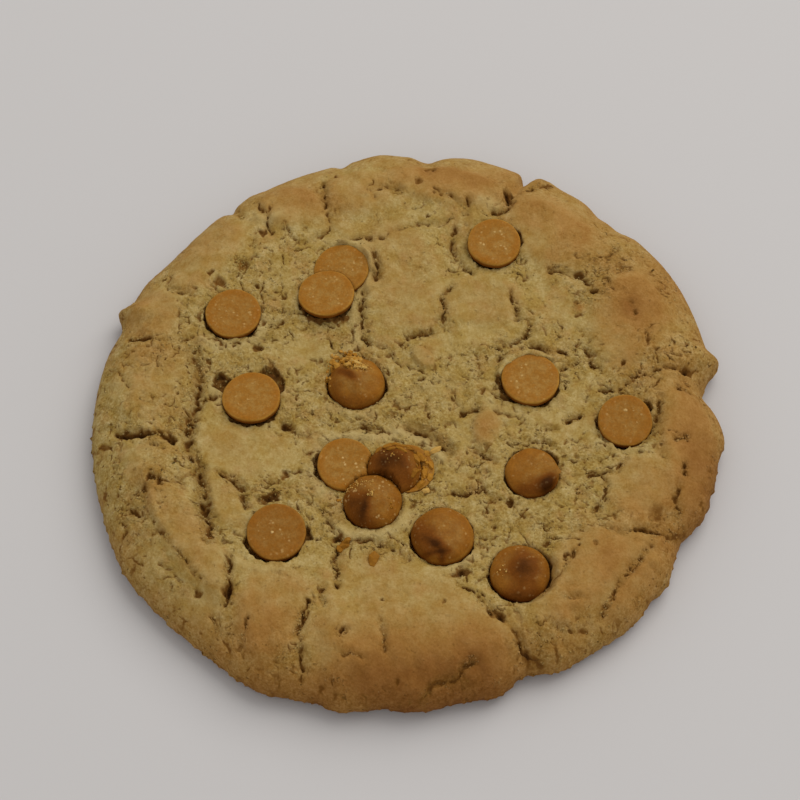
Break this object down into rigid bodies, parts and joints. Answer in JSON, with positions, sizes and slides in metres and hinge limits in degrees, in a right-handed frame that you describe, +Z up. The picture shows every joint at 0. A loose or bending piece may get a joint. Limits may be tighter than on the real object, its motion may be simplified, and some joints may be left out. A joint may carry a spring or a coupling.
{
  "type": "salted caramel cookie",
  "caption": "Round baked cookie with a cracked, uneven crust and caramel drops sunk in its top, some with the flat base up and some with the point up.",
  "frame": {"origin": "on the resting plane, under the middle of the cookie's outline", "axes": "+Z up through the thickness, +X to the right and +Y away from the viewer of the picture"},
  "size_m": [0.1055, 0.1051, 0.0114],
  "materials": {
    "baked_dough": "dry, grainy baked crumb, pale in the middle and golden brown at the rim",
    "caramel": "waxy, semi-gloss caramel with toasted points"
  },
  "bodies": {
    "root": {"dough": "baked_dough", "drop_left_upper": "caramel", "drop_pair_lower": "caramel", "drop_pair_upper": "caramel", "drop_top_right": "caramel", "drop_left_middle": "caramel", "drop_right_upper": "caramel", "drop_right_outer": "caramel", "drop_centre_flat": "caramel", "drop_left_lower": "caramel", "drop_centre_under": "caramel", "drop_crumbled": "caramel", "drop_centre_dark": "caramel", "drop_centre_front": "caramel", "drop_right_leaning": "caramel", "drop_lower_middle": "caramel", "drop_lower_right": "caramel"}
  },
  "joints": []
}
